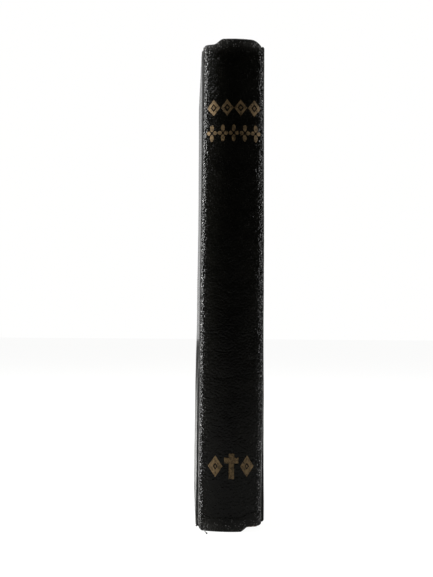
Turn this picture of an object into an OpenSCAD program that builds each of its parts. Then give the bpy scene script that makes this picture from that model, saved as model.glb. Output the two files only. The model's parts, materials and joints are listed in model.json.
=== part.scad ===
// A closed personal-size bible in black bonded leather, standing on its tail.
// +Z is up the spine, the spine faces -Y, the fore edge +Y, the front cover +X.
// The origin is under the middle of the book, on the surface that it stands on.

/* [Book] */
// Height from the tail to the head
book_h = 220; // [200:1:240]
// Thickness over both covers
book_t = 29.8; // [28.8:0.2:31]
// Width from the spine to the fore edge
book_w = 145; // [130:1:160]
// How far the case has slipped out of square
slip = 2.2; // [1:0.1:3]

/* [Spine] */
// Radius of the rounded back
back_r = 27; // [26:0.5:30]
// Radius of the ridge down each side of the back
ridge_r = 2.5; // [2:0.1:3]
// Depth of the back, from its crown to the gutter
back_d = 9.5; // [9:0.1:10.5]
// Height of the gilt ornaments in the two upper rows
ornament = 7.4; // [6:0.1:7.8]
// Height of the gilt cross near the foot
cross_h = 11.2; // [9:0.1:13]

/* [Covers] */
// Thickness of a finished cover
cover_t = 2; // [1.8:0.1:2.2]
// Thickness of the leather
leather_t = 0.9; // [0.7:0.05:1]
// Radius of the covers' fore-edge corners
corner_r = 9; // [4:0.5:12]
// Width of leather turned in over each board
turn_in = 14; // [10:1:20]
// Width of the soft joint between the spine and a board
joint_w = 4.2; // [3.6:0.1:5]

/* [Leaves] */
// How far the covers stand past the leaves at head and tail
square = 3.2; // [2.5:0.1:4]
// How far the covers stand past the leaves at the fore edge
fore_square = 4; // [3.5:0.1:5]
// Gatherings in each half of the block
gatherings = 12; // [8:1:14]
// Width of the ribbon marker
ribbon_w = 6; // [4:0.5:7]
// Length of ribbon that hangs out at the fore edge
ribbon_tail_l = 38; // [25:1:42]

/* [Hidden] */

leather_colour = "#1b1a18";
card_colour = "#8d7b62";
paper_colour = "#efe6cf";
cloth_colour = "#d9d2bd";
gilt_colour = "#a98a4c";
ribbon_colour = "#6d1420";

half_t = book_t / 2;
back_y = -book_w / 2;
fore_y = book_w / 2;
arc_y = back_y + back_r;
gutter_y = back_y + back_d;
joint_y = gutter_y + joint_w;
cover_y = joint_y + 0.4;
cover_h = book_h - slip;
cover_in = half_t - cover_t;

// Layers behind the crown of the back, as depths below the leather's surface
air = 0.02;
inlay_d = leather_t + air;
inlay_t = 0.5;
turned_d = inlay_d + inlay_t + air;
turned_t = 0.66;
lining_d = turned_d + turned_t + 0.04;
lining_t = 0.3;
super_d = lining_d + lining_t + 0.04;
super_t = 0.3;
thread_d = super_d + super_t + 0.04;
thread_t = 0.2;
folds_d = thread_d + thread_t + 0.04;

// Layers inside a cover
turned_cover_t = 0.32;
board_in = cover_in + turned_cover_t;
paper_t = 0.12;
pastedown_x = cover_in - 0.14;
flyleaf_x = pastedown_x - 0.2;

// The block of leaves
block_half = flyleaf_x - 0.11;
middle_gap = 0.36;
gathering_t = (block_half - middle_gap) / gatherings;
leaf_z = square;
leaf_top = cover_h - square + 1.4;
leaf_y = gutter_y + 0.2;
leaf_fore = fore_y - fore_square;
leaf_corner = corner_r - 2;
folds_r = back_r - folds_d;
gilt_gap = 0.03;
gilt_t = 0.12;
lozenge_w = 6.3;
lozenge_step = 6.6;
lozenge_stroke = 1.25;
floret_w = 5;
floret_step = 5.3;
cross_bar = 2.5;
flank = [6.6, 9.6];
flank_stroke = 1.7;
flank_x = 7.4;
upper_row_z = book_h - 31.3;
lower_row_z = book_h - 42.7;
foot_row_z = 29;
cover_cross = [52, 4.2];
cover_cross_z = 143;
ribbon_exit_z = 62;
ribbon_in = 0.32;
ribbon_tail_y = leaf_fore + 0.5;
ribbon_t = 0.2;

function smooth(t) = let(u = min(max(t, 0), 1)) u * u * (3 - 2 * u);

// How much higher the front board sits, which fades out along its tail towards the fore edge
function lift(y) = slip * pow(1 - min(max((y - gutter_y) / (fore_y - 20 - gutter_y), 0), 1), 2);

function arc(cx, cy, r, from, to, steps) =
    [for (i = [0 : steps]) let(a = from + (to - from) * i / steps) [cx + r * cos(a), cy + r * sin(a)]];

// The back's outline at a depth below its surface: a ridge, the rounded back and the other ridge
function back_outline(depth, end_y) =
    let(
        r = max(ridge_r - depth, 0.05),
        w = half_t - depth,
        big = back_r - depth,
        cx = w - r,
        cy = arc_y - sqrt(pow(big - r, 2) - cx * cx),
        turn = atan2(cx, arc_y - cy)
    )
    concat(
        [[-w, end_y]],
        arc(-cx, cy, r, 180, 270 - turn, 6),
        arc(0, arc_y, big, 270 - turn, 270 + turn, 28),
        arc(cx, cy, r, 270 + turn, 360, 6),
        [[w, end_y]]
    );

// Where the leaves end at the fore edge: hollow by as much as the back is round
function fore_edge(x) =
    leaf_fore - (sqrt(folds_r * folds_r - x * x) - sqrt(folds_r * folds_r - block_half * block_half));

// A cover's outline across Y and Z, square at the joint and rounded at the fore edge
function cover_outline(inset, rise) =
    let(
        near = cover_y + inset,
        far = fore_y - inset,
        r = max(corner_r - inset, 1),
        steps = 8,
        run = far - r - near
    )
    concat(
        [for (i = [0 : steps]) let(y = near + run * i / steps) [y, rise * lift(y) + inset]],
        arc(far - r, inset + r, r, -80, 0, 8),
        arc(far - r, cover_h - inset - r, r, 0, 80, 8),
        [for (i = [steps : -1 : 0]) let(y = near + run * i / steps) [y, cover_h + rise * lift(y) - inset]]
    );

function leaf_outline(near, far) = concat(
    [[near, leaf_z]],
    arc(far - leaf_corner, leaf_z + leaf_corner, leaf_corner, -90, 0, 6),
    arc(far - leaf_corner, leaf_top - leaf_corner, leaf_corner, 0, 90, 6),
    [[near, leaf_top]]
);

// Head and foot of the back: each end has slipped sideways, so one corner of it is short
function head_z(x) = book_h - slip * (1 - smooth((x + 10.5) / 5)) - round_off(x, 6.5);
function foot_z(x) = slip * smooth((x - 4.5) / 4.5) + round_off(-x, 1.5);
function round_off(x, r) = let(d = min(max(x - half_t + r, 0), r)) r - sqrt(r * r - d * d);

// A sheet lying across X, from x to x + t, with an outline in Y and Z
module sheet_at(x, t, outline) {
    translate([x, 0, 0]) rotate([90, 0, 90]) linear_extrude(t) polygon(outline);
}

module back_solid(depth, z0, z1, end_y) {
    translate([0, 0, z0]) linear_extrude(z1 - z0) polygon(back_outline(depth, end_y));
}

// Everything between the slipped head and foot of the back
module back_ends() {
    reach = half_t + 1;
    xs = [for (i = [0 : 40]) -reach + 2 * reach * i / 40];
    rotate([90, 0, 0]) linear_extrude(book_w + 20, center = true)
        polygon(concat([for (x = xs) [x, foot_z(x)]], [for (i = [40 : -1 : 0]) [xs[i], head_z(xs[i])]]));
}

// A curved layer of the back, between two depths and as wide as 2 * half
module back_layer(depth, t, half, z0, z1) {
    translate([0, arc_y, z0]) intersection() {
        difference() {
            cylinder(r = back_r - depth, h = z1 - z0, $fn = 160);
            translate([0, 0, -1]) cylinder(r = back_r - depth - t, h = z1 - z0 + 2, $fn = 160);
        }
        translate([-half, -book_w, 0]) cube([2 * half, book_w, z1 - z0]);
    }
}

// ---- spine ----

// The leather is turned in over the inlay at the head and foot, leaving a pocket for it
module spine_leather() {
    wall_y = gutter_y - 0.2;
    color(leather_colour) difference() {
        intersection() {
            back_solid(0, -1, book_h + 1, wall_y);
            back_ends();
        }
        back_solid(turned_d + turned_t, -2, book_h + 2, wall_y + 1);
        difference() {
            back_solid(leather_t, slip + 1, book_h - slip - 1, wall_y + 1);
            back_solid(turned_d, -3, turn_in, wall_y + 2);
            back_solid(turned_d, book_h - turn_in, book_h + 3, wall_y + 2);
        }
    }
}

module spine_inlay() {
    end = slip + 1 + air;
    color(card_colour) back_layer(inlay_d, inlay_t, half_t - 2.5, end, book_h - end);
}

module spine_lining() {
    end = 12;
    color("#a5865a") back_layer(lining_d, lining_t, half_t - 3.1, end, book_h - end);
}

module super_cloth() {
    end = 22;
    color(cloth_colour) back_layer(super_d, super_t, half_t - 2.9, end, book_h - end);
}

// The folded backs of the gatherings, each glued to the next
module sewn_folds() {
    color(paper_colour)
    for (side = [-1, 1], i = [0 : gatherings - 1]) {
        x = side * (middle_gap + gathering_t * (i + 0.5));
        translate([0, arc_y, leaf_z]) intersection() {
            cylinder(r = folds_r, h = leaf_top - leaf_z, $fn = 160);
            translate([x - gathering_t / 2 + 0.03, -folds_r - 1, 0])
                cube([gathering_t - 0.06, folds_r + 1 + gutter_y - arc_y, leaf_top - leaf_z]);
        }
    }
}

// One stitch on the back of each fold at every sewing station
module sewing_threads() {
    color("#f4efe2")
    for (side = [-1, 1], i = [0 : gatherings - 1], z = [40, 74, 108, 142, 176]) {
        x = side * (middle_gap + gathering_t * (i + 0.5));
        turn = asin(x / (back_r - thread_d));
        translate([0, arc_y, z]) rotate([0, 0, turn])
            translate([-0.12, -(folds_r + 0.02 + thread_t), 0]) cube([0.24, thread_t, 14]);
    }
}

// A beaded band with its cloth tab, over the folds at one end of the block
module end_band(z, up) {
    bead_r = 0.85;
    tab_r = folds_r + 0.02;
    sweep = 60;
    translate([0, arc_y, z]) mirror([0, 0, up > 0 ? 0 : 1]) rotate([0, 0, -90 - sweep / 2]) {
        rotate_extrude(angle = sweep, $fn = 160)
            translate([folds_r - bead_r + thread_t, bead_r + 0.05]) circle(r = bead_r, $fn = 24);
        rotate_extrude(angle = sweep, $fn = 160) translate([tab_r, -10]) square([thread_t, 11]);
    }
}

module head_band() {
    color("#7d1f24") end_band(leaf_top, 1);
}

module tail_band() {
    color("#7d1f24") end_band(leaf_z, -1);
}

// ---- gilding on the back ----

module diamond(w, h) {
    polygon([[w / 2, 0], [0, h / 2], [-w / 2, 0], [0, -h / 2]]);
}

// An open lozenge with a solid one at its middle
module lozenge(w, h, stroke) {
    share = 1 - 2.6 * stroke / w;
    difference() {
        diamond(w, h);
        diamond(w * share, h * share);
    }
    diamond(w * share / 2, h * share / 2);
}

module floret(w, h) {
    for (side = [-1, 1]) {
        translate([side * w * 0.3, 0]) scale([w * 0.2, h * 0.12]) circle(r = 1, $fn = 20);
        translate([0, side * h * 0.29]) scale([w * 0.19, h * 0.21]) circle(r = 1, $fn = 20);
    }
}

module latin_cross(h, bar) {
    translate([-bar / 2, -h / 2]) square([bar, h]);
    translate([-h * 0.3, h * 0.12]) square([h * 0.6, bar]);
}

module spine_gilding() {
    color(gilt_colour) intersection() {
        difference() {
            back_solid(-gilt_gap - gilt_t, 0, book_h, gutter_y);
            back_solid(-gilt_gap, -1, book_h + 1, gutter_y + 1);
        }
        rotate([90, 0, 0]) linear_extrude(book_w + 20, center = true) {
            for (i = [-1.5 : 1.5]) translate([i * lozenge_step, upper_row_z])
                lozenge(lozenge_w, ornament, lozenge_stroke);
            for (i = [-2 : 2]) translate([i * floret_step, lower_row_z]) floret(floret_w, ornament + 0.2);
            translate([0, foot_row_z]) latin_cross(cross_h, cross_bar);
            for (side = [-1, 1]) translate([side * flank_x, foot_row_z])
                lozenge(flank[0], flank[1], flank_stroke);
        }
    }
}

// Two short ends of sewing thread that have worked out at the foot
module loose_threads() {
    color(leather_colour) {
        translate([-13.1, back_y + 3.4, 0.3]) rotate([90, 0, 14]) cylinder(r = 0.2, h = 3.2, $fn = 16);
        translate([-10.6, back_y + 2.1, 0.3]) rotate([90, 0, -9]) cylinder(r = 0.2, h = 2, $fn = 16);
    }
}

// ---- joints ----

// The bare leather between the spine and a board, which sinks into a groove
module joint_leather(side, rise) {
    x = half_t - 0.8 - leather_t;
    y0 = gutter_y + 0.2;
    y1 = joint_y - 0.4;
    outline = [[y0, rise * lift(y0)], [y1, rise * lift(y1)],
        [y1, cover_h + rise * lift(y1) - 1.5], [y0, cover_h + rise * lift(y0) - 1.5]];
    color(leather_colour) sheet_at(side > 0 ? x : -x - leather_t, leather_t, outline);
}

module front_joint_leather() {
    joint_leather(1, 1);
}

module back_joint_leather() {
    joint_leather(-1, 0);
}

// ---- covers ----

// Leather over the outside of a board, round its edges and turned in over its inside
module cover_leather(side, rise) {
    color(leather_colour) mirror([side > 0 ? 0 : 1, 0, 0]) difference() {
        sheet_at(cover_in, cover_t, cover_outline(0, rise));
        sheet_at(board_in, cover_t - turned_cover_t - leather_t, cover_outline(leather_t, rise));
        sheet_at(cover_in - 1, 2, cover_outline(turn_in, rise));
    }
}

module cover_board(side, rise) {
    color(card_colour) mirror([side > 0 ? 0 : 1, 0, 0]) {
        sheet_at(board_in + air, cover_t - turned_cover_t - leather_t - 2 * air, cover_outline(leather_t + air, rise));
        sheet_at(cover_in + air, turned_cover_t + 2 * air, cover_outline(turn_in + air, rise));
    }
}

module pastedown(side, rise) {
    color(paper_colour) mirror([side > 0 ? 0 : 1, 0, 0])
        sheet_at(pastedown_x, paper_t, cover_outline(3.5, rise));
}

module front_cover_leather() {
    cover_leather(1, 1);
}

module front_cover_board() {
    cover_board(1, 1);
}

module front_pastedown() {
    pastedown(1, 1);
}

module back_cover_leather() {
    cover_leather(-1, 0);
}

module back_cover_board() {
    cover_board(-1, 0);
}

module back_pastedown() {
    pastedown(-1, 0);
}

// A plain cross stamped on the upper half of the front cover
module front_cover_gilding() {
    color(gilt_colour) translate([half_t + gilt_gap, (cover_y + fore_y) / 2, cover_cross_z])
        rotate([90, 0, 90]) linear_extrude(gilt_t) latin_cross(cover_cross[0], cover_cross[1]);
}

// ---- leaves ----

module flyleaf(side) {
    outline = leaf_outline(joint_y + 0.1, leaf_fore - 0.1);
    color(paper_colour) sheet_at(side > 0 ? flyleaf_x : -flyleaf_x - paper_t, paper_t, outline);
}

module front_flyleaf() {
    flyleaf(1);
}

module back_flyleaf() {
    flyleaf(-1);
}

module half_block(side) {
    color(paper_colour)
    for (i = [0 : gatherings - 1]) {
        x = middle_gap + gathering_t * i;
        outline = leaf_outline(leaf_y, fore_edge(x + gathering_t / 2));
        sheet_at(side > 0 ? x + 0.03 : -x - gathering_t + 0.03, gathering_t - 0.06, outline);
    }
}

module front_leaves() {
    half_block(1);
}

module back_leaves() {
    half_block(-1);
}

// One leaf at the opening, which stands up between the halves as they turn
module middle_leaf() {
    color(paper_colour) sheet_at(0.1, paper_t, leaf_outline(leaf_y, fore_edge(0)));
}

// ---- ribbon marker ----

// The ribbon's length inside the book, slanting from the head of the gutter to the fore edge
module ribbon_band() {
    out_y = ribbon_tail_y - 0.3;
    outline = [[gutter_y + 1, leaf_top - 1], [gutter_y + 1, leaf_top - 1 - 2 * ribbon_w],
        [out_y, ribbon_exit_z - ribbon_w / 2], [out_y, ribbon_exit_z + ribbon_w / 2]];
    color(ribbon_colour) sheet_at(-ribbon_in, ribbon_t, outline);
}

module ribbon_tail() {
    cut = ribbon_w / 2;
    color(ribbon_colour) translate([0, ribbon_tail_y, ribbon_exit_z]) rotate([90, 0, 180])
        linear_extrude(0.3) polygon([[-ribbon_w / 2, 3], [ribbon_w / 2, 3], [ribbon_w / 2, -ribbon_tail_l],
            [0, -ribbon_tail_l + cut], [-ribbon_w / 2, -ribbon_tail_l]]);
}

spine_leather();
spine_inlay();
spine_lining();
super_cloth();
sewn_folds();
sewing_threads();
head_band();
tail_band();
spine_gilding();
loose_threads();
front_joint_leather();
back_joint_leather();
front_cover_leather();
front_cover_board();
front_pastedown();
front_cover_gilding();
back_cover_leather();
back_cover_board();
back_pastedown();
front_flyleaf();
back_flyleaf();
front_leaves();
back_leaves();
middle_leaf();
ribbon_band();
ribbon_tail();
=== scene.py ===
import json
from math import asin, atan2, cos, exp, hypot, pi, radians, sin, sqrt

import bmesh
import bpy
from mathutils import Euler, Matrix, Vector, noise


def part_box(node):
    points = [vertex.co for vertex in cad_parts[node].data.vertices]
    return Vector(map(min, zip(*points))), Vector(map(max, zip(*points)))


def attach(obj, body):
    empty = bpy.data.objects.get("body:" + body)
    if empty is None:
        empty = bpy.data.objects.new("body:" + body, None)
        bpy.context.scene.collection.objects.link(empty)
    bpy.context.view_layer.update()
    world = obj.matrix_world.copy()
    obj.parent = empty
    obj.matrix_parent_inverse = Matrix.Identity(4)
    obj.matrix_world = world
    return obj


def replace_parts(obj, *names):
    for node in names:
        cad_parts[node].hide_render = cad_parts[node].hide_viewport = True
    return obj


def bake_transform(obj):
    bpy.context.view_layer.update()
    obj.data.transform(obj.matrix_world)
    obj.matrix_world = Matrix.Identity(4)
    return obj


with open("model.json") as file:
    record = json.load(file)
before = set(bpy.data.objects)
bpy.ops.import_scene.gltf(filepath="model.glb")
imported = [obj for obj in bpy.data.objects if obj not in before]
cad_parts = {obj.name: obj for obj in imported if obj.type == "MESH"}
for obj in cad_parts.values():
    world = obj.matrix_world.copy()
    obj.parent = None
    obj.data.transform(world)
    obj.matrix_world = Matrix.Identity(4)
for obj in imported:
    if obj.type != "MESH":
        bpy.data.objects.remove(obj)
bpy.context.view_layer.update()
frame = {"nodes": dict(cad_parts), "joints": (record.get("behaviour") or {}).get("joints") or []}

mm = 0.001

spineLow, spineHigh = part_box("spine_leather")
coverLow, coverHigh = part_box("back_cover_leather")
leavesLow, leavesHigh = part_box("front_leaves")

halfThick = spineHigh.x
backY = spineLow.y
foreY = coverHigh.y
bookHigh = spineHigh.z
coverHeight = coverHigh.z - coverLow.z
slip = bookHigh - coverHeight
hinges = {j["name"]: j for j in frame["joints"]}
gutterY = hinges["front_half_turn"]["pos_m"][1]

back = {
    "radius": 27 * mm,
    "ridge": 2.5 * mm,
    "leather": 0.9 * mm,
    "folded": 2.1 * mm,  # leather, inlay and turned-in leather together
    "turnIn": (14 * mm, 0.8 * mm),  # width of the fold, and the slope at its edge
    "headStep": (-10.5 * mm, 5 * mm),  # where the head steps up from the back cover, and over what width
    "footStep": (4.5 * mm, 4.5 * mm),
    "headRound": 6.5 * mm,
    "footRound": 1.5 * mm,
    "drawnIn": {  # at the foot, the middle and the head
        -1: (0.45 * mm, 0.5 * mm, 1.5 * mm),
        1: (1.4 * mm, 0.6 * mm, 1.1 * mm),
    },
    "drawnAt": (70 * mm, 105 * mm, 215 * mm),  # end of the foot's share, start and end of the head's
    "drawnEnd": 3 * mm,  # to either side of the gutter
    "bandLine": 5.6 * mm,  # where the turned-in edge shows through at head and foot
    "creases": (  # from, to, height at the start, slope
        (-17 * mm, -10.5 * mm, 184.5 * mm, -0.42),
        (-16 * mm, -8.5 * mm, 182.2 * mm, -0.3),
        (-17 * mm, -12 * mm, 179.6 * mm, -0.5),
        (9 * mm, 15 * mm, 76 * mm, 0.35),
    ),
}
arcY = backY + back["radius"]


def clamp(t, low=0.0, high=1.0):
    return min(max(t, low), high)


def smooth(t):
    t = clamp(t)
    return t * t * (3 - 2 * t)


def mix(a, b, t):
    return a + (b - a) * t


def ripple(x, y, z, size):
    return noise.noise(Vector((x, y, z)) / size)


def roundOff(x, r):
    d = clamp(x - halfThick + r, 0, r)
    return r - sqrt(r * r - d * d)


def headZ(x):
    start, wide = back["headStep"]
    return bookHigh - slip * (1 - smooth((x - start) / wide)) - roundOff(x, back["headRound"])


def footZ(x):
    start, wide = back["footStep"]
    return slip * smooth((x - start) / wide) + roundOff(-x, back["footRound"])


def pinch(x, y, z):
    # the ridges of the back sit a little inside the covers, most of all at the head
    foot, middle, head = back["drawnIn"][1 if x > 0 else -1]
    footEnd, headStart, headEnd = back["drawnAt"]
    amount = mix(middle, head, smooth((z - headStart) / (headEnd - headStart)))
    amount = mix(foot, amount, smooth(z / footEnd))
    past = (y - gutterY + back["drawnEnd"]) / (2 * back["drawnEnd"])
    return x - amount * (1 - smooth(past)) * x / halfThick


class Wire:
    # an output socket that takes part in maths
    def __init__(self, shader, socket):
        self.shader = shader
        self.socket = socket

    def maths(self, operation, first, second=None):
        values = {0: first}
        if second is not None:
            values[1] = second
        return self.shader.node("ShaderNodeMath", {"operation": operation}, values)

    def __add__(self, other):
        return self.maths("ADD", self, other)

    def __radd__(self, other):
        return self.maths("ADD", other, self)

    def __sub__(self, other):
        return self.maths("SUBTRACT", self, other)

    def __rsub__(self, other):
        return self.maths("SUBTRACT", other, self)

    def __mul__(self, other):
        return self.maths("MULTIPLY", self, other)

    def __rmul__(self, other):
        return self.maths("MULTIPLY", other, self)

    def between(self, low, high, toLow=0.0, toHigh=1.0):
        settings = {"interpolation_type": "SMOOTHSTEP"}
        values = {0: self, 1: low, 2: high, 3: toLow, 4: toHigh}
        return self.shader.node("ShaderNodeMapRange", settings, values)

    def most(self, other):
        return self.maths("MAXIMUM", self, other)

    def wave(self):
        return self.maths("SINE", self)

    def size(self):
        return self.maths("ABSOLUTE", self)


class Shader:
    # the nodes of a new material, or of a new world
    def __init__(self, name, forWorld=False):
        self.owner = (bpy.data.worlds if forWorld else bpy.data.materials).new(name)
        self.ending = "ShaderNodeOutputWorld" if forWorld else "ShaderNodeOutputMaterial"
        self.owner.use_nodes = True
        self.tree = self.owner.node_tree
        self.tree.nodes.clear()

    def node(self, kind, settings=None, values=None, out=0):
        made = self.tree.nodes.new(kind)
        for name, value in (settings or {}).items():
            setattr(made, name, value)
        for name, value in (values or {}).items():
            if isinstance(value, Wire):
                self.tree.links.new(value.socket, made.inputs[name])
            else:
                made.inputs[name].default_value = value
        return Wire(self, made.outputs[out])

    def place(self, moves=True):
        # millimetres on the piece itself; a moving mesh carries its own resting places
        if moves:
            spot = self.node("ShaderNodeAttribute", {"attribute_name": "restPlace"}, out="Vector")
        else:
            spot = self.node("ShaderNodeTexCoord", out="Object")
        return self.node("ShaderNodeVectorMath", {"operation": "SCALE"}, {0: spot, "Scale": 1000.0})

    def stretched(self, spot, scale):
        return self.node("ShaderNodeVectorMath", {"operation": "MULTIPLY"}, {0: spot, 1: scale})

    def split(self, spot, axis):
        return self.node("ShaderNodeSeparateXYZ", None, {0: spot}, out=axis)

    def noise(self, spot, scale, detail=3.0, rough=0.5):
        values = {"Vector": spot, "Scale": scale, "Detail": detail, "Roughness": rough}
        return self.node("ShaderNodeTexNoise", None, values, out="Fac")

    def cells(self, spot, scale):
        return self.node("ShaderNodeTexVoronoi", {"feature": "F1"}, {"Vector": spot, "Scale": scale})

    def blend(self, factor, a, b):
        return self.node("ShaderNodeMix", {"data_type": "RGBA"}, {0: factor, 6: a, 7: b}, out=2)

    def bump(self, height, distance, strength=1.0):
        values = {"Height": height, "Distance": distance, "Strength": strength}
        return self.node("ShaderNodeBump", None, values)

    def finish(self, values):
        return self.close(self.node("ShaderNodeBsdfPrincipled", None, values))

    def close(self, surface):
        end = self.tree.nodes.new(self.ending)
        self.tree.links.new(surface.socket, end.inputs["Surface"])
        return self.owner


def colour(r, g, b):
    return (r, g, b, 1.0)


leatherLook = {
    "dark": colour(0.0018, 0.0018, 0.0014),
    "pale": colour(0.0039, 0.0038, 0.003),
    "scuffed": colour(0.05, 0.048, 0.043),
    # pale rubbed grain: partly real wear, partly a painted glint of the lamps
    "worn": colour(0.42, 0.415, 0.4),
    "pebble": 1.12,  # grains in a millimetre
    "depth": 0.2 * mm,
    "shine": 0.12,
    "plainGrain": 0.3,  # height of the grain where nothing is rubbed
    "groove": (-2.0, -1.0, 4.8, 5.5),  # the dull joint, in millimetres from the gutter
    "ends": (103.0, 108.5),  # head and foot, painted lighter for the reflected floor light and made duller, in millimetres from the middle
}


def leatherMaterial():
    s = Shader("bondedLeather")
    spot = s.place()
    ridge = s.node("ShaderNodeAttribute", {"attribute_name": "wear"}, out="Fac")
    depth = s.split(spot, "Y") - gutterY / mm
    start, full, fade, end = leatherLook["groove"]
    groove = depth.between(start, full) * depth.between(fade, end, 1.0, 0.0)
    ends = (s.split(spot, "Z") - bookHigh / mm / 2).size().between(*leatherLook["ends"])
    drift = s.noise(spot, 0.55, 2.0)
    bent = s.node("ShaderNodeVectorMath", {"operation": "ADD"}, {0: spot, 1: drift})
    pebble = s.cells(bent, leatherLook["pebble"])
    small = s.cells(bent, leatherLook["pebble"] * 2.1)
    fine = s.noise(spot, 3.6, 4.0, 0.6)
    broad = s.noise(spot, 0.13, 7.0, 0.78)
    patches = s.noise(spot, 0.6, 3.0)
    rubbed = ridge.most(ends * 0.5)
    height = (1 - pebble * pebble * 1.5 - small * 0.3 + fine * 0.2) * (rubbed + leatherLook["plainGrain"])
    scuff = s.noise(s.stretched(spot, (1.0, 1.0, 0.5)), 0.35, 5.0, 0.65).between(0.6, 0.74)
    # pale flecks on the grain tops where rubbed: partly real wear, partly painted glints of the lamps
    wearAndGlintFlecks = pebble.between(0.14, 0.36, 1.0, 0.0) * patches.between(0.4, 0.6) * rubbed
    tone = s.blend(broad.between(0.3, 0.75), leatherLook["dark"], leatherLook["pale"])
    specks = fine.between(0.62, 0.74) * scuff
    # real scuffed specks; at head and foot the colour is painted lighter for the reflected floor light
    tone = s.blend(specks.most(ends * 0.16), tone, leatherLook["scuffed"])
    return s.finish({
        "Base Color": s.blend(wearAndGlintFlecks * 0.7, tone, leatherLook["worn"]),
        "Roughness": fine * 0.1 + broad * 0.06 + 0.05 + groove * 0.6 + ends * 0.2,
        "Specular IOR Level": leatherLook["shine"],
        "Normal": s.bump(height, leatherLook["depth"]),
    })


foilLook = {
    "dull": colour(0.07, 0.046, 0.02),
    "bright": colour(0.15, 0.098, 0.044),
    "metal": 0.6,
    "gone": (0.55, 0.64),  # where the foil has worn off
}


def foilMaterial():
    s = Shader("wornFoil")
    spot = s.place()
    grain = s.noise(spot, 2.6, 4.0, 0.65)
    rub = s.noise(spot, 0.8, 3.0, 0.6)
    return s.finish({
        "Base Color": s.blend(rub.between(0.35, 0.65), foilLook["dull"], foilLook["bright"]),
        "Metallic": foilLook["metal"],
        "Roughness": grain * 0.3 + 0.34,
        "Alpha": (grain + rub * 0.5).between(*foilLook["gone"]),
        "Normal": s.bump(grain, 0.03 * mm, 0.8),
    })


paperLook = {
    "dark": colour(0.66, 0.59, 0.45),
    "pale": colour(0.74, 0.68, 0.55),
    "fibre": colour(0.56, 0.5, 0.38),
    "rule": colour(0.2, 0.185, 0.16),
}


def paperMaterial(name, moves=True, printed=False):
    s = Shader(name)
    spot = s.place(moves)
    fibres = s.noise(s.stretched(spot, (1.0, 1.0, 0.4)), 2.2, 4.0, 0.6)
    cloud = s.noise(spot, 0.05, 2.0)
    tone = s.blend(cloud, paperLook["dark"], paperLook["pale"])
    if printed:
        tone = s.blend(greyLines(s, spot), tone, paperLook["rule"])
    return s.finish({
        "Base Color": s.blend(fibres.between(0.35, 0.8, 0.0, 0.35), tone, paperLook["fibre"]),
        "Roughness": fibres * 0.15 + 0.72,
        "Specular IOR Level": 0.25,
        "Normal": s.bump(fibres, 0.02 * mm, 0.5),
    })


pageRules = {  # in millimetres
    "spacing": 2.7,
    "middle": 6.0,
    "betweenColumns": 2.0,  # half of it
    "halfWide": 52.0,
    "halfHigh": 96.0,
    "soft": 0.6,
}


def greyLines(s, spot):
    # two columns of plain grey rules, broken into uneven lengths, in place of print
    y = s.split(spot, "Y")
    z = s.split(spot, "Z")
    soft = pageRules["soft"]
    row = (z * (2 * pi / pageRules["spacing"])).wave().between(0.15, 0.75)
    lengths = s.stretched(spot, (0.0, 0.75, 1 / pageRules["spacing"]))
    gaps = s.noise(lengths, 1.0, 3.0, 0.7).between(0.36, 0.42)
    aside = (y - pageRules["middle"]).size()
    inner, outer = pageRules["betweenColumns"], pageRules["halfWide"]
    column = aside.between(inner, inner + soft) - aside.between(outer, outer + soft)
    away = (z - bookHigh / mm / 2).size()
    page = away.between(pageRules["halfHigh"], pageRules["halfHigh"] + soft, 1.0, 0.0)
    return row * gaps * column * page * 0.8


edgeLook = {
    "dark": colour(0.2, 0.13, 0.045),
    "pale": colour(0.5, 0.36, 0.15),
    "bare": colour(0.58, 0.5, 0.36),  # paper where the gilt has gone
}


def edgeMaterial():
    # gilt edges of the leaves: thin layers with a few that catch the light
    s = Shader("giltEdge")
    spot = s.place()
    layers = s.noise(s.stretched(spot, (9.0, 0.05, 0.03)), 1.0, 3.0, 0.7)
    bundle = s.noise(s.stretched(spot, (1.1, 0.02, 0.012)), 1.0, 2.0)
    wear = s.noise(spot, 0.16, 4.0, 0.6)
    tone = s.blend(layers.between(0.3, 0.7), edgeLook["dark"], edgeLook["pale"])
    return s.finish({
        "Base Color": s.blend(wear.between(0.6, 0.75, 0.0, 0.5), tone, edgeLook["bare"]),
        "Metallic": wear.between(0.55, 0.75, 0.85, 0.35),
        "Roughness": layers * 0.25 + 0.3,
        "Normal": s.bump(layers + bundle * 0.6, 0.06 * mm, 0.8),
    })


def boardMaterial(name, dark, pale, moves=False):
    s = Shader(name)
    spot = s.place(moves)
    fibres = s.noise(spot, 1.4, 5.0, 0.7)
    return s.finish({
        "Base Color": s.blend(fibres.between(0.3, 0.75), dark, pale),
        "Roughness": fibres * 0.1 + 0.82,
        "Normal": s.bump(fibres, 0.04 * mm, 0.6),
    })


def weaveMaterial(name, dark, pale, fineness, moves=False, shine=0.0):
    # threads that pass over and under, fineness of them to the millimetre
    s = Shader(name)
    spot = s.place(moves)
    turn = 2 * pi * fineness
    warp = (s.split(spot, "X") * turn + s.split(spot, "Y") * turn).wave()
    weft = (s.split(spot, "Z") * turn).wave()
    cloth = (warp * weft) * 0.5 + 0.5
    fuzz = s.noise(spot, 2.0, 4.0, 0.6)
    return s.finish({
        "Base Color": s.blend(cloth * 0.7 + fuzz * 0.3, dark, pale),
        "Roughness": 0.78 - shine * 0.35 - cloth * 0.1,
        "Sheen Weight": 0.25,
        "Normal": s.bump(cloth, 0.04 * mm, 0.7),
    })


bandLook = {
    "red": colour(0.2, 0.012, 0.02),
    "cream": colour(0.66, 0.58, 0.42),
    "stripe": 1.9,  # a red and a cream one, in millimetres
    "thread": 0.32,
}


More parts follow.
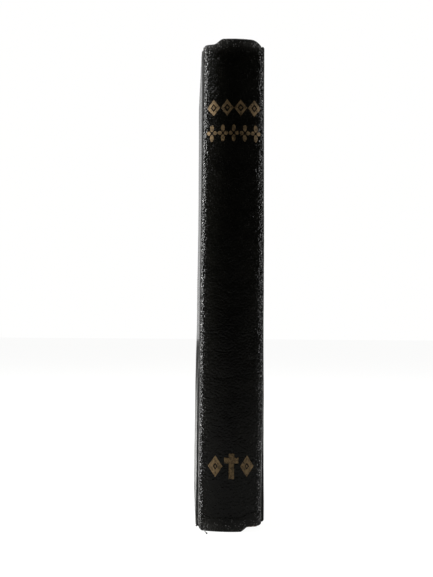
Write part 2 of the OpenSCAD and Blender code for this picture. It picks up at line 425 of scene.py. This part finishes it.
def bandMaterial():
    s = Shader("stripedBand")
    spot = s.place(moves=False)
    across = s.split(spot, "X")
    stripes = (across * (2 * pi / bandLook["stripe"])).wave().between(-0.12, 0.12)
    thread = (across * (2 * pi / bandLook["thread"])).wave()
    fuzz = s.noise(spot, 3.0, 3.0)
    return s.finish({
        "Base Color": s.blend(stripes, bandLook["red"], bandLook["cream"]),
        "Roughness": fuzz * 0.2 + 0.6,
        "Sheen Weight": 0.3,
        "Normal": s.bump(thread * 0.5 + fuzz, 0.05 * mm, 0.8),
    })


print("materials")
leather = leatherMaterial()
foil = foilMaterial()
pagePaper = paperMaterial("thinPaper", printed=True)
plainPaper = paperMaterial("endPaper")
stillPaper = paperMaterial("endPaperStill", moves=False)
giltEdge = edgeMaterial()
board = boardMaterial("greyBoard", colour(0.24, 0.19, 0.13), colour(0.38, 0.31, 0.22))
kraft = boardMaterial("brownPaper", colour(0.25, 0.15, 0.07), colour(0.36, 0.24, 0.13))
mull = weaveMaterial("openCloth", colour(0.4, 0.36, 0.27), colour(0.68, 0.63, 0.52), 0.8)
linen = weaveMaterial("linenThread", colour(0.5, 0.46, 0.38), colour(0.76, 0.72, 0.62), 2.2)
satin = weaveMaterial("satinRibbon", colour(0.11, 0.005, 0.012), colour(0.25, 0.014, 0.03), 2.6, True, 1.0)
stripedBand = bandMaterial()
darkThread = weaveMaterial("darkThread", colour(0.01, 0.01, 0.009), colour(0.03, 0.03, 0.026), 2.5)


def makePiece(name, points, faces, materials, faceMaterials=None, sharp=38):
    mesh = bpy.data.meshes.new(name)
    mesh.from_pydata([tuple(p) for p in points], [], faces)
    for material in materials:
        mesh.materials.append(material)
    if faceMaterials:
        mesh.polygons.foreach_set("material_index", faceMaterials)
    shape = bmesh.new()
    shape.from_mesh(mesh)
    bmesh.ops.recalc_face_normals(shape, faces=shape.faces)
    shape.to_mesh(mesh)
    shape.free()
    mesh.polygons.foreach_set("use_smooth", [True] * len(mesh.polygons))
    mesh.set_sharp_from_angle(angle=radians(sharp))
    keepRest(mesh)
    piece = bpy.data.objects.new(name, mesh)
    bpy.context.scene.collection.objects.link(piece)
    return piece


def keepRest(mesh):
    rest = mesh.attributes.new("restPlace", "FLOAT_VECTOR", "POINT")
    rest.data.foreach_set("vector", [c for v in mesh.vertices for c in v.co])


def gridFaces(rows, flip=False):
    faces = []
    for a, b in zip(rows, rows[1:]):
        for i in range(len(a) - 1):
            face = [a[i], a[i + 1], b[i + 1], b[i]]
            face = [v for n, v in enumerate(face) if v not in face[:n]]
            if len(face) > 2:
                faces.append(face[::-1] if flip else face)
    return faces


def steps(low, high, coarse, fine=None, reach=0.0):
    # places from low to high, closer together within reach of both ends
    if not fine:
        count = max(round((high - low) / coarse), 1)
        return [mix(low, high, i / count) for i in range(count + 1)]
    ends = max(round(reach / fine), 1)
    middle = max(round((high - low - 2 * reach) / coarse), 1)
    first = [low + reach * i / ends for i in range(ends)]
    body = [mix(low + reach, high - reach, i / middle) for i in range(middle + 1)]
    last = [high - reach + reach * i / ends for i in range(1, ends + 1)]
    return first + body + last


ridgeX = halfThick - back["ridge"]
ridgeY = arcY - sqrt((back["radius"] - back["ridge"]) ** 2 - ridgeX ** 2)
ridgeTurn = atan2(ridgeX, arcY - ridgeY)
crownLength = back["radius"] * ridgeTurn
ridgeLength = back["ridge"] * (pi / 2 - ridgeTurn)
seamY = gutterY - 1.2 * mm
wallLength = seamY - ridgeY
halfGirth = crownLength + ridgeLength + wallLength


def backSpot(along, depth=0.0):
    # along is measured over the leather from the middle of the back, positive to +X
    side = 1 if along >= 0 else -1
    s = abs(along)
    if s <= crownLength:
        turn = s / back["radius"]
        x, y = back["radius"] * sin(turn), arcY - back["radius"] * cos(turn)
    elif s <= crownLength + ridgeLength:
        turn = ridgeTurn + (s - crownLength) / back["ridge"]
        x, y = ridgeX + back["ridge"] * sin(turn), ridgeY - back["ridge"] * cos(turn)
    else:
        turn = pi / 2
        x, y = halfThick, ridgeY + s - crownLength - ridgeLength
    return side * (x - depth * sin(turn)), y + depth * cos(turn)


backFeel = {  # heights with their sizes
    "swell": (0.1 * mm, 9 * mm),
    "fineSwell": (0.04 * mm, 3.2 * mm),
    "lumps": (0.09 * mm, 2.1 * mm),  # along the ridges
    "band": (0.09 * mm, 1.1 * mm),
    "crease": (0.16 * mm, 0.55 * mm),
    "ridgeReach": 2.2 * mm,
    "seamFade": 2 * mm,
    "edges": (0.6 * mm, 1.5 * mm),  # smooth rim at head and foot, and where the relief is full
}


def backRelief(along, z):
    # how far the leather stands out from its smooth shape
    x = backSpot(along)[0]
    e = min(z - footZ(x), headZ(x) - z)
    rim, full = backFeel["edges"]
    fade = smooth((halfGirth - abs(along)) / backFeel["seamFade"]) * smooth((e - rim) / full)
    ridge = 1 - smooth(abs(abs(along) - crownLength - 0.5 * ridgeLength) / backFeel["ridgeReach"])
    swell, size = backFeel["swell"]
    relief = swell * ripple(along, 0.3, z * 0.5, size)
    swell, size = backFeel["fineSwell"]
    relief += swell * ripple(along, 5, z, size)
    lumps, size = backFeel["lumps"]
    relief += lumps * ridge * ripple(along, 9, z, size)
    band, width = backFeel["band"]
    relief += band * (1 - smooth((e - back["bandLine"]) / width))
    return (relief - backCreases(along, z)) * fade


def backCreases(along, z):
    # short slanting creases where the back has been pressed near its head
    deep, wide = backFeel["crease"]
    depth = 0.0
    for start, end, level, slope in back["creases"]:
        run = smooth((along - start) / mm) * smooth((end - along) / (2 * mm))
        away = (z - level - slope * (along - start)) / wide
        depth += deep * run * max(1 - away * away, 0) ** 2
    return depth


backRubbing = {
    "wall": (0.4, 0.9 * mm),  # share of the ridge's turn that is rubbed, and the fade after it
    "edge": 0.9 * mm,
    "crown": 5 * mm,
    "crownShare": {-1: 0.16, 1: 0.12},
    "backFrom": (110 * mm, 60 * mm),  # the -X side is rubbed above this height, in full so much higher
}


def backWear(along, z):
    # full on the ridges, fading over the crown, furthest beside the ridge at -X near the head
    inward = crownLength - abs(along)
    if inward < 0:
        turn, fade = backRubbing["wall"]
        return 1 - smooth((-inward - turn * ridgeLength) / fade)
    share = backRubbing["crownShare"][-1 if along < 0 else 1]
    if along < 0:
        level, run = backRubbing["backFrom"]
        share *= smooth((z - level) / run)
    return max(exp(-inward / backRubbing["edge"]), share * exp(-inward / backRubbing["crown"]))


spineMesh = {
    "across": 0.4 * mm,
    "up": (0.0034, 0.0014, 0.042),  # shares of the height: step, fine step, reach of the fine ones
    "turns": 8,  # steps round the folded edges
}


def buildSpineSkin():
    alongs = steps(-halfGirth, halfGirth, spineMesh["across"])
    levels = steps(0, 1, *spineMesh["up"])
    turns = [pi * i / spineMesh["turns"] for i in range(1, spineMesh["turns"])]
    r = back["folded"] / 2
    turnIn, slope = back["turnIn"]
    points, wear, outer, inner, caps = [], [], [], [], []
    for along in alongs:
        across = backSpot(along)[0]
        low, high = footZ(across) + r, headZ(across) - r

        def put(depth, z):
            x, y = backSpot(along, depth)
            points.append((pinch(x, y, z), y, z))
            wear.append(backWear(along, z))
            return len(points) - 1

        outerRow, innerRow = [], []
        for u in levels:
            z = mix(low, high, u)
            e = min(z - low, high - z)
            outerRow.append(put(-backRelief(along, z), z))
            inside = mix(back["folded"], back["leather"], smooth((e - turnIn) / slope))
            innerRow.append(put(inside, z))
        head = [put(r - r * cos(turn), high + r * sin(turn)) for turn in turns]
        foot = [put(r - r * cos(turn), low - r * sin(turn)) for turn in turns]
        outer.append(outerRow)
        inner.append(innerRow)
        caps.append((head, foot))
    loops = [o + h + i[::-1] + f[::-1] + o[:1] for o, i, (h, f) in zip(outer, inner, caps)]
    faces = gridFaces(loops)
    for n in (0, -1):
        head, foot = caps[n]
        faces += gridFaces([outer[n], inner[n]])
        faces.append([outer[n][-1]] + head + [inner[n][-1]])
        faces.append([outer[n][0]] + foot + [inner[n][0]])
    skin = makePiece("spineSkin", points, faces, [leather])
    skin.data.attributes.new("wear", "FLOAT", "POINT").data.foreach_set("value", wear)
    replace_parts(skin, "spine_leather")
    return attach(skin, "spine")


cover = {
    "thick": 2.0 * mm,
    "corner": 9.0 * mm,
    "groove": 0.8 * mm,  # how far the joint leather sinks
    "grooveLeather": 0.9 * mm,
    "shoulder": 0.7 * mm,  # length of the step from the groove up to the board
    "join": 2 * mm,  # run over which the joint leather leaves the back's wall
    "notch": (1.5 * mm, 2 * mm, 2.5 * mm),  # dip of the joint's head: depth, place from the gutter, run
    "flatBy": 20 * mm,  # from the fore edge: the front board's tail rises from there to the spine
    "spreadAt": (0, 50 * mm, 100 * mm, 150 * mm, 195 * mm, 221 * mm),
    "spread": {  # in millimetres
        -1: (0.65, 0.3, -0.45, -0.75, -0.68, -0.5),
        1: (0.6, 0.3, -0.1, -0.35, -0.4, -0.4),
    },
    "swell": (0.12 * mm, 30 * mm),
    "fineSwell": (0.05 * mm, 8 * mm),
    "rim": (0.1 * mm, 2.2 * mm, 1.6 * mm),  # height, distance from the edge, half width
    "reliefFade": 3 * mm,
    "up": (0.008, 0.0011, 0.011),  # shares of the height: step, fine step, reach of the fine ones
    "boardSteps": (1.7 * mm, 0.15 * mm, 6.3 * mm),
    "jointStep": 0.15 * mm,
    "coverFold": 0.8 * mm,  # to either side of the cover's hinge
    "backFold": 0.45 * mm,
}
grooveEnd = gutterY + 5.4 * mm
coverSeamY = gutterY + 1.0 * mm


def lift(y):
    run = foreY - cover["flatBy"] - gutterY
    return slip * (1 - clamp((y - gutterY) / run)) ** 2


def plateSpan(side, y):
    # lowest and highest place of the leather beside the spine and over a board
    rise = lift(y) if side > 0 else 0.0
    low, high = rise, coverHeight + rise
    dip, place, run = cover["notch"]
    high -= dip * (1 - smooth((y - gutterY - place) / run))
    join = smooth((y - seamY) / cover["join"])
    return mix(footZ(side * halfThick), low, join), mix(headZ(side * halfThick), high, join)


def plateFaces(side, y, z):
    # outer and inner faces, as distances from the book's middle
    boardShare = smooth((y - grooveEnd + cover["shoulder"]) / cover["shoulder"])
    sunk = smooth((y - seamY) / cover["join"]) * (1 - boardShare)
    outside = halfThick - cover["groove"] * sunk
    inside = mix(outside - cover["grooveLeather"], halfThick - cover["thick"], boardShare)
    return outside + coverSpread(side, z) * boardShare, inside


def plateRelief(side, y, z, d):
    run = cover["reliefFade"]
    fade = smooth(d / run) * smooth((y - coverSeamY) / run)
    height, size = cover["swell"]
    swell = height * ripple(side * 3, y, z, size)
    height, size = cover["fineSwell"]
    swell += height * ripple(side * 7, y, z, size)
    height, inward, half = cover["rim"]
    rim = height * (1 - smooth(abs(d - inward) / half)) * smooth(d / mm)
    return swell * fade + rim * smooth((y - grooveEnd) / run)


def coverSpread(side, z):
    # the book is a little thicker at its foot than at its head
    levels, amounts = cover["spreadAt"], cover["spread"][side]
    for i in range(len(levels) - 1):
        if z <= levels[i + 1]:
            break
    share = smooth((z - levels[i]) / (levels[i + 1] - levels[i]))
    return mix(amounts[i], amounts[i + 1], share) * mm


def buildPlate(name, side, ys, foreEdge):
    levels = steps(0, 1, *cover["up"])
    points, outer, inner = [], [], []
    near, r = ys[0], cover["corner"]
    for n, yFlat in enumerate(ys):
        outerRow, innerRow = [], []
        for k, v in enumerate(levels):
            y = yFlat
            if foreEdge:
                e = min(v, 1 - v) * coverHeight
                trim = r - sqrt(r * r - (r - e) ** 2) if e < r else 0.0
                y = near + (yFlat - near) * (foreY - trim - near) / (foreY - near)
            low, high = plateSpan(side, y)
            z = mix(low, high, v)
            e = min(z - low, high - z)
            d = e
            if foreEdge:
                d = min(e, foreY - y)
                if y > foreY - r and e < r:
                    d = max(r - hypot(y - foreY + r, r - e), 0.0)
            d = max(d, 0.0)
            outside, inside = plateFaces(side, y, z)
            half = (outside - inside) / 2
            drop = half - sqrt(half ** 2 - (half - d) ** 2) if d < half else 0.0
            relief = plateRelief(side, y, z, d) if foreEdge else 0.0
            xOut = pinch(side * (outside - drop + relief), y, z)
            xIn = pinch(side * (inside + drop), y, z)
            points.append((xOut, y, z))
            outerRow.append(len(points) - 1)
            rimPoint = k in (0, len(levels) - 1) or (foreEdge and n == len(ys) - 1)
            if rimPoint:
                innerRow.append(len(points) - 1)
            else:
                points.append((xIn, y, z))
                innerRow.append(len(points) - 1)
        outer.append(outerRow)
        inner.append(innerRow)
    faces = gridFaces(outer) + gridFaces(inner, True)
    for n in ([0] if foreEdge else [0, -1]):
        faces += gridFaces([outer[n], inner[n]])
    return makePiece(name, points, faces, [leather])


def buildCoverSkins():
    boardYs = steps(coverSeamY, foreY, *cover["boardSteps"])
    jointYs = steps(seamY, coverSeamY, cover["jointStep"])
    for side, word in ((1, "front"), (-1, "back")):
        skin = buildPlate(word + "CoverSkin", side, boardYs, True)
        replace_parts(skin, word + "_cover_leather")
        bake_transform(skin)
        strip = buildPlate(word + "JointSkin", side, jointYs, False)
        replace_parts(strip, word + "_joint_leather")
        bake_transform(strip)


gilding = {
    "rows": (188.7 * mm, 177.3 * mm),
    "lozenges": {"count": 4, "step": 6.6 * mm, "wide": 6.3 * mm, "high": 7.4 * mm, "stroke": 1.25 * mm},
    "florets": {"count": 5, "step": 5.3 * mm, "wide": 5.0 * mm, "high": 7.6 * mm},
    "foot": 29 * mm,
    "cross": {"high": 11.2 * mm, "bar": 2.5 * mm},
    "coverBar": 4.2 * mm,
    "flanks": {"step": 7.4 * mm, "wide": 6.6 * mm, "high": 9.6 * mm, "stroke": 1.7 * mm},
    "above": 0.035 * mm,
    "cell": 0.55 * mm,
}


def lozenge(x, z, look):
    # an open lozenge with a solid one at its middle
    share = 1 - 2.6 * look["stroke"] / look["wide"]
    w, h = look["wide"] / 2, look["high"] / 2
    outer = [(x + w, z), (x, z + h), (x - w, z), (x, z - h)]
    inner = [(mix(x, a, share), mix(z, b, share)) for a, b in outer]
    ring = [[outer[i], outer[(i + 1) % 4], inner[(i + 1) % 4], inner[i]] for i in range(4)]
    return ring + [[(mix(x, a, share * 0.5), mix(z, b, share * 0.5)) for a, b in outer]]


def oval(x, z, halfWide, halfHigh):
    turns = [2 * pi * i / 20 for i in range(20)]
    return [(x + halfWide * cos(t), z + halfHigh * sin(t)) for t in turns]


def floret(x, z, look):
    w, h = look["wide"], look["high"]
    beside = [oval(x + a * w * 0.3, z, w * 0.2, h * 0.12) for a in (1, -1)]
    return beside + [oval(x, z + b * h * 0.29, w * 0.19, h * 0.21) for b in (1, -1)]


def row(count, step):
    return [(i - (count - 1) / 2) * step for i in range(count)]


def latinCross(x, z, high, bar):
    top, foot = z + high / 2, z - high / 2
    armLow, armHigh = z + high * 0.12, z + high * 0.12 + bar
    w, arm = bar / 2, high * 0.3
    return [
        [(x - w, foot), (x + w, foot), (x + w, armLow), (x - w, armLow)],
        [(x - arm, armLow), (x - w, armLow), (x + w, armLow), (x + arm, armLow),
         (x + arm, armHigh), (x + w, armHigh), (x - w, armHigh), (x - arm, armHigh)],
        [(x - w, armHigh), (x + w, armHigh), (x + w, top), (x - w, top)],
    ]


def layFoil(name, shapes, onto, body, node):
    # cuts flat shapes into small cells and lays them on a curved surface
    shape = bmesh.new()
    for outline in shapes:
        shape.faces.new([shape.verts.new((x, 0, z)) for x, z in outline])
    bmesh.ops.remove_doubles(shape, verts=shape.verts, dist=1e-6)
    xs = [v.co.x for v in shape.verts]
    zs = [v.co.z for v in shape.verts]
    for axis, values in ((0, xs), (2, zs)):
        level = min(values) + gilding["cell"]
        while level < max(values):
            spot, normal = [0, 0, 0], [0, 0, 0]
            spot[axis], normal[axis] = level, 1
            everything = shape.verts[:] + shape.edges[:] + shape.faces[:]
            bmesh.ops.bisect_plane(shape, geom=everything, plane_co=spot, plane_no=normal)
            level += gilding["cell"]
    for v in shape.verts:
        v.co = onto(v.co.x, v.co.z)
    points = [v.co.copy() for v in shape.verts]
    shape.verts.index_update()
    faces = [[v.index for v in f.verts] for f in shape.faces]
    shape.free()
    piece = makePiece(name, points, faces, [foil])
    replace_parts(piece, node)
    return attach(piece, body)


def ontoBack(x, z):
    along = asin(clamp(x / back["radius"], -0.99, 0.99)) * back["radius"]
    px, py = backSpot(along, -backRelief(along, z) - gilding["above"])
    return Vector((pinch(px, py, z), py, z))


def ontoFrontCover(y, z):
    d = min(foreY - y, z, bookHigh - z)
    x = halfThick + coverSpread(1, z) + plateRelief(1, y, z, d) + gilding["above"]
    return Vector((x, y, z))


def buildGilding():
    upper, lower = gilding["rows"]
    frames, florets, flanks = gilding["lozenges"], gilding["florets"], gilding["flanks"]
    shapes = []
    for x in row(frames["count"], frames["step"]):
        shapes += lozenge(x, upper, frames)
    for x in row(florets["count"], florets["step"]):
        shapes += floret(x, lower, florets)
    shapes += latinCross(0, gilding["foot"], gilding["cross"]["high"], gilding["cross"]["bar"])
    for side in (-1, 1):
        shapes += lozenge(side * flanks["step"], gilding["foot"], flanks)
    layFoil("spineFoil", shapes, ontoBack, "spine", "spine_gilding")
    low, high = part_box("front_cover_gilding")
    middle = (low + high) / 2
    cross = latinCross(middle.y, middle.z, high.z - low.z, gilding["coverBar"])
    layFoil("coverFoil", cross, ontoFrontCover, "front_cover", "front_cover_gilding")


leaves = {
    "corner": 7 * mm,
    "uneven": 0.12 * mm,
    "bundle": 1.1 * mm,  # thickness of the leaves that lie uneven together
    "waver": 6 * mm,
    "gutterRun": (36 * mm, 28),  # length and steps of the part next to the gutter
    "flatSteps": 12,
    "upSteps": 8 * mm,
    "bendY": 16 * mm,
    "bendX": 14.4 * mm,
    "flyleafBend": 15 * mm,
    "middleBend": 37 * mm,
    "layers": 24,
    "parting": {1: 0.25 * mm, -1: 0.35 * mm},  # clear of the middle leaf and the ribbon
}
blockHalf = leavesHigh.x
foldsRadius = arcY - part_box("sewn_folds")[0].y


def foreEdgeY(x):
    hollow = sqrt(foldsRadius ** 2 - x * x) - sqrt(foldsRadius ** 2 - blockHalf ** 2)
    return leavesHigh.y - hollow


def foldsY(x):
    return arcY - sqrt(foldsRadius ** 2 - x * x)


def buildLeaves(name, xs, nearY, farY, uneven, materials):
    # a block of leaves between the first and last of xs, with rounded fore-edge corners
    low, high, r = leavesLow.z, leavesHigh.z, leaves["corner"]
    rise = steps(low + r, high - r, leaves["upSteps"])
    bendRun, bends = leaves["gutterRun"]
    flats = leaves["flatSteps"]
    points, rims, sides = [], [], []

    def put(x, y, z):
        points.append((x, y, z))
        return len(points) - 1

    for x in xs:
        near, far = nearY(x), farY(x)
        bend = min(gutterY + bendRun, far - r - 2 * mm)
        run = [mix(near, bend, i / bends) for i in range(bends)]
        run += [mix(bend, far - r, i / flats) for i in range(flats + 1)]
        corner = [(far - r + r * sin(a * pi / 16), r - r * cos(a * pi / 16)) for a in range(1, 9)]
        shift = uneven * ripple(x, 4, 0, leaves["bundle"])
        tail = [put(x, y, low) for y in run] + [put(x, y + shift, low + h) for y, h in corner]
        head = [put(x, y, high) for y in run] + [put(x, y + shift, high - h) for y, h in corner]
        wavers = [uneven * ripple(x, 1, z, leaves["waver"]) * 0.5 for z in rise[1:-1]]
        fore = [put(x, far + shift + waver, z) for waver, z in zip(wavers, rise[1:-1])]
        fold = [put(x, near, z) for z in rise[1:-1]]
        rims.append(tail + fore + head[::-1] + fold[::-1] + tail[:1])
        sides.append((tail, head, fore, fold))
    faces = gridFaces(rims)
    kinds = []
    tail, head, fore, fold = sides[0]
    ring = len(rims[0]) - 1
    foldStart = len(tail) + len(fore) + len(head)
    for n in range(len(faces)):
        kinds.append(1 if n % ring < foldStart - 1 else 0)
    for end, (tail, head, fore, fold) in ((0, sides[0]), (-1, sides[-1])):
        columns = []
        for k in range(len(tail)):
            if k == 0:
                middle = fold
            elif k == len(tail) - 1:
                middle = fore
            else:
                t, h = Vector(points[tail[k]]), Vector(points[head[k]])
                shares = [(z - low) / (high - low) for z in rise[1:-1]]
                middle = [put(t.x, t.y, mix(t.z, h.z, share)) for share in shares]
            columns.append([tail[k]] + middle + [head[k]])
        made = gridFaces(columns, end == 0)
        faces += made
        kinds += [0] * len(made)
    return makePiece(name, points, faces, materials, kinds, 30)


def buildSheet(node, name, materials):
    low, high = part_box(node)
    sheet = buildLeaves(name, [low.x, high.x], lambda x: low.y, lambda x: high.y, 0, materials)
    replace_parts(sheet, node)
    return sheet, low.x


def buildAllLeaves():
    for side, word in ((1, "front"), (-1, "back")):
        inner = leaves["parting"][side]
        xs = [side * mix(inner, blockHalf, i / leaves["layers"]) for i in range(leaves["layers"] + 1)]
        block = buildLeaves(word + "Pages", xs, foldsY, foreEdgeY, leaves["uneven"], [pagePaper, giltEdge])
        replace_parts(block, word + "_leaves", *(["sewn_folds"] if side > 0 else []))
        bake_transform(block)
        fly, x = buildSheet(word + "_flyleaf", word + "FlyleafSheet", [plainPaper, plainPaper])
        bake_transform(fly)
    leaf, x = buildSheet("middle_leaf", "middlePage", [pagePaper, giltEdge])
    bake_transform(leaf)


ribbon = {
    "wide": 6 * mm,
    "thick": 0.2 * mm,
    "exitZ": 62 * mm,
    "tail": 38 * mm,
    "inside": 4.5 * mm,  # where the twist begins, from the fore edge
    "above": 4 * mm,
    "swingFrom": 3 * mm,  # above and below the exit, where the end begins to swing and swings in full
    "swingTo": 6 * mm,
    "steps": (80, 40),  # inside the book, outside it
    "twistBy": 0.32,  # share of the tail in which it turns flat
    "outBy": 0.14,
    "waves": (0.7 * mm, 0.5 * mm),  # across and out
    "notch": 3 * mm,
}


def buildStrip(name, middles, across, thick, notch=0.0):
    # a flat strip through middles, with the direction across its width at each one
    points, upper, under = [], [], []
    for n, (middle, wide) in enumerate(zip(middles, across)):
        ahead = middles[min(n + 1, len(middles) - 1)] - middles[max(n - 1, 0)]
        out = ahead.cross(wide).normalized() * thick / 2
        rows = ([], [])
        for share in (-1, -0.6, 0, 0.6, 1):
            spot = middle + wide * share * ribbon["wide"] / 2
            if n == len(middles) - 1:
                spot = spot + ahead.normalized() * notch * abs(share)
            for line, shift in zip(rows, (out, -out)):
                points.append(spot + shift)
                line.append(len(points) - 1)
        upper.append(rows[0])
        under.append(rows[1])
    faces = gridFaces(upper) + gridFaces(under, True)
    faces += gridFaces([[line[-1] for line in upper], [line[-1] for line in under]])
    faces += gridFaces([[line[0] for line in upper], [line[0] for line in under]], True)
    faces += gridFaces([upper[0], under[0]], True) + gridFaces([upper[-1], under[-1]])
    return makePiece(name, points, faces, [satin])


def buildRibbon():
    low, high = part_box("ribbon_band")
    x = (low.x + high.x) / 2
    start = Vector((x, low.y, high.z - ribbon["wide"]))
    end = Vector((x, leavesHigh.y - ribbon["inside"], ribbon["exitZ"] + ribbon["above"]))
    inSteps, outSteps = ribbon["steps"]
    along = (end - start).normalized()
    flat = Vector((0, -along.z, along.y))
    middles = [start.lerp(end, i / inSteps) for i in range(inSteps + 1)]
    band = buildStrip("ribbonBand", middles, [flat] * len(middles), ribbon["thick"])
    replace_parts(band, "ribbon_band")
    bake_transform(band)
    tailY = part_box("ribbon_tail")[0].y + 0.15 * mm
    sideways, outwards = ribbon["waves"]
    middles, across = [], []
    for i in range(outSteps + 1):
        t = i / outSteps
        turn = smooth(t / ribbon["twistBy"])
        y = mix(end.y - 0.5 * mm, tailY, smooth(t / ribbon["outBy"]))
        y += outwards * sin(t * 9) * smooth(t / 0.4)
        z = end.z + 1 * mm - ribbon["tail"] * t
        middles.append(Vector((x * (1 - turn) + sideways * sin(t * 7) * turn, y, z)))
        across.append(flat.lerp(Vector((1, 0, 0.02)), turn).normalized())
    tail = buildStrip("ribbonTail", middles, across, ribbon["thick"], ribbon["notch"])
    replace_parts(tail, "ribbon_tail")
    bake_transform(tail)


threads = {
    "radius": 0.2 * mm,
    "knot": 1.9,  # how much thicker the frayed end is
    # each route in millimetres: one end at the joint and one under the back
    "back_cover": [
        (-14.3, -56.6, 3.4),
        (-14.8, -57.0, 2.6),
        (-15.0, -57.5, 1.7),
        (-15.2, -58.2, 0.9),
        (-15.2, -59.0, 0.4),
    ],
    "spine": [
        (-11.9, -71.4, 1.0),
        (-11.6, -72.6, 0.7),
        (-11.3, -73.8, 0.4),
        (-11.0, -75.2, 0.4),
        (-10.8, -76.3, 0.4),
    ],
}


def buildThread(body):
    route = threads[body]
    curve = bpy.data.curves.new("thread", "CURVE")
    curve.dimensions = "3D"
    curve.bevel_depth = threads["radius"]
    curve.bevel_resolution = 3
    curve.resolution_u = 6
    line = curve.splines.new("BEZIER")
    line.bezier_points.add(len(route) - 1)
    for point, spot in zip(line.bezier_points, route):
        point.co = Vector(spot) * mm
        point.handle_left_type = point.handle_right_type = "AUTO"
    line.bezier_points[-1].radius = threads["knot"]
    curve.materials.append(darkThread)
    piece = bpy.data.objects.new("looseThread_" + body, curve)
    bpy.context.scene.collection.objects.link(piece)
    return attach(piece, body)


def buildThreads():
    buildThread("back_cover")
    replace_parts(buildThread("spine"), "loose_threads")


print("back")
buildSpineSkin()
print("covers")
buildCoverSkins()
print("gilding")
buildGilding()
print("leaves")
buildAllLeaves()
print("ribbon and threads")
buildRibbon()
buildThreads()


print("inner pieces")
nodeLooks = {
    "spine_inlay": board,
    "front_cover_board": board,
    "back_cover_board": board,
    "spine_lining": kraft,
    "super_cloth": mull,
    "sewing_threads": linen,
    "head_band": stripedBand,
    "tail_band": stripedBand,
    "front_pastedown": stillPaper,
    "back_pastedown": stillPaper,
}
for nodeName, look in nodeLooks.items():
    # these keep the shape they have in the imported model
    kept = frame["nodes"][nodeName]
    kept.data.materials.clear()
    kept.data.materials.append(look)


view = {
    "distance": 480 * mm,  # from the back's crown
    "left": 19.6 * mm,
    "high": 92 * mm,
    "turn": 1.48,  # degrees
    "pitch": 1.87,
    "roll": 0.43,
    "lens": 44.97,
    "sensor": 24,
}


def makeCamera():
    data = bpy.data.cameras.new("camera")
    data.sensor_width = view["sensor"]
    data.lens = view["lens"]
    data.clip_start = 0.01
    data.clip_end = 50
    camera = bpy.data.objects.new("camera", data)
    camera.location = (-view["left"], backY - view["distance"], view["high"])
    aim = Euler((radians(90 + view["pitch"]), 0, radians(-view["turn"])), "XYZ").to_matrix()
    lean = Euler((0, 0, radians(view["roll"])), "XYZ").to_matrix()
    camera.rotation_euler = (aim @ lean).to_euler()
    bpy.context.scene.collection.objects.link(camera)
    bpy.context.scene.camera = camera


floorLook = {
    "dark": colour(0.36, 0.36, 0.355),
    "pale": colour(0.4, 0.4, 0.395),
    "glow": 1.34,
    "glowShare": 0.71,  # of what the camera sees
    "half": 6.0,
}


def makeFloor():
    s = Shader("paleFloor")
    grain = s.noise(s.place(moves=False), 0.02, 2.0)
    tone = s.blend(grain, floorLook["dark"], floorLook["pale"])
    matt = s.node("ShaderNodeBsdfPrincipled", None, {
        "Base Color": tone,
        "Roughness": 1.0,
        "Specular IOR Level": 0.0,
    })
    white = {"Color": colour(1.0, 1.0, 0.995), "Strength": floorLook["glow"]}
    glow = s.node("ShaderNodeEmission", None, white)
    eye = s.node("ShaderNodeLightPath", out="Is Camera Ray")
    look = s.close(s.node("ShaderNodeMixShader", None, {0: eye * floorLook["glowShare"], 1: matt, 2: glow}))
    mesh = bpy.data.meshes.new("floor")
    h = floorLook["half"]
    mesh.from_pydata([(-h, -h, 0), (h, -h, 0), (h, h, 0), (-h, h, 0)], [], [(0, 1, 2, 3)])
    mesh.materials.append(look)
    floor = bpy.data.objects.new("floor", mesh)
    bpy.context.scene.collection.objects.link(floor)


lamps = {
    "leftSoftbox": {"at": (-0.98, 0.1, 0.35), "size": (0.36, 0.6), "watts": 40},
    "leftFill": {"at": (-0.8, -0.6, 0.8), "size": (0.3, 0.3), "watts": 3},
    "rightSoftbox": {"at": (0.99, -0.1, 0.3), "size": (0.16, 0.6), "watts": 9},
    "overhead": {"at": (0.0, 0.5, 1.2), "size": (1.2, 0.8), "watts": 8},
}
lampAim = Vector((0, 0, 0.1))


def makeLamps():
    for name, lamp in lamps.items():
        data = bpy.data.lights.new(name, "AREA")
        data.shape = "RECTANGLE"
        data.size, data.size_y = lamp["size"]
        data.energy = lamp["watts"]
        light = bpy.data.objects.new(name, data)
        light.location = lamp["at"]
        light.rotation_euler = (lampAim - light.location).to_track_quat("-Z", "Y").to_euler()
        bpy.context.scene.collection.objects.link(light)


backdrop = {
    "front": 0.02,  # light from before the book
    "behind": 0.85,
    "turnsAt": (-0.4, 0.7),
    "panel": (0.08, 0.3),  # half widths of the bright panel, full and at the end of its fade
    "aside": 0.06,  # share of the light left beside the panel
}


def makeWorld():
    # white to the eye, a bright panel behind the book and dark round it
    s = Shader("paleStudio", forWorld=True)
    direction = s.node("ShaderNodeTexCoord", out="Generated")
    behind = s.split(direction, "Y").between(*backdrop["turnsAt"], backdrop["front"], backdrop["behind"])
    aside = s.split(direction, "X").size().between(*backdrop["panel"], 1.0, backdrop["aside"])
    lit = s.node("ShaderNodeBackground", None, {"Strength": behind * aside})
    seen = s.node("ShaderNodeBackground", None, {"Color": colour(1.0, 1.0, 0.995)})
    eye = s.node("ShaderNodeLightPath", out="Is Camera Ray")
    bpy.context.scene.world = s.close(s.node("ShaderNodeMixShader", None, {0: eye, 1: lit, 2: seen}))


print("camera and light")
makeCamera()
makeFloor()
makeLamps()
makeWorld()
bpy.context.scene.view_settings.view_transform = "Standard"
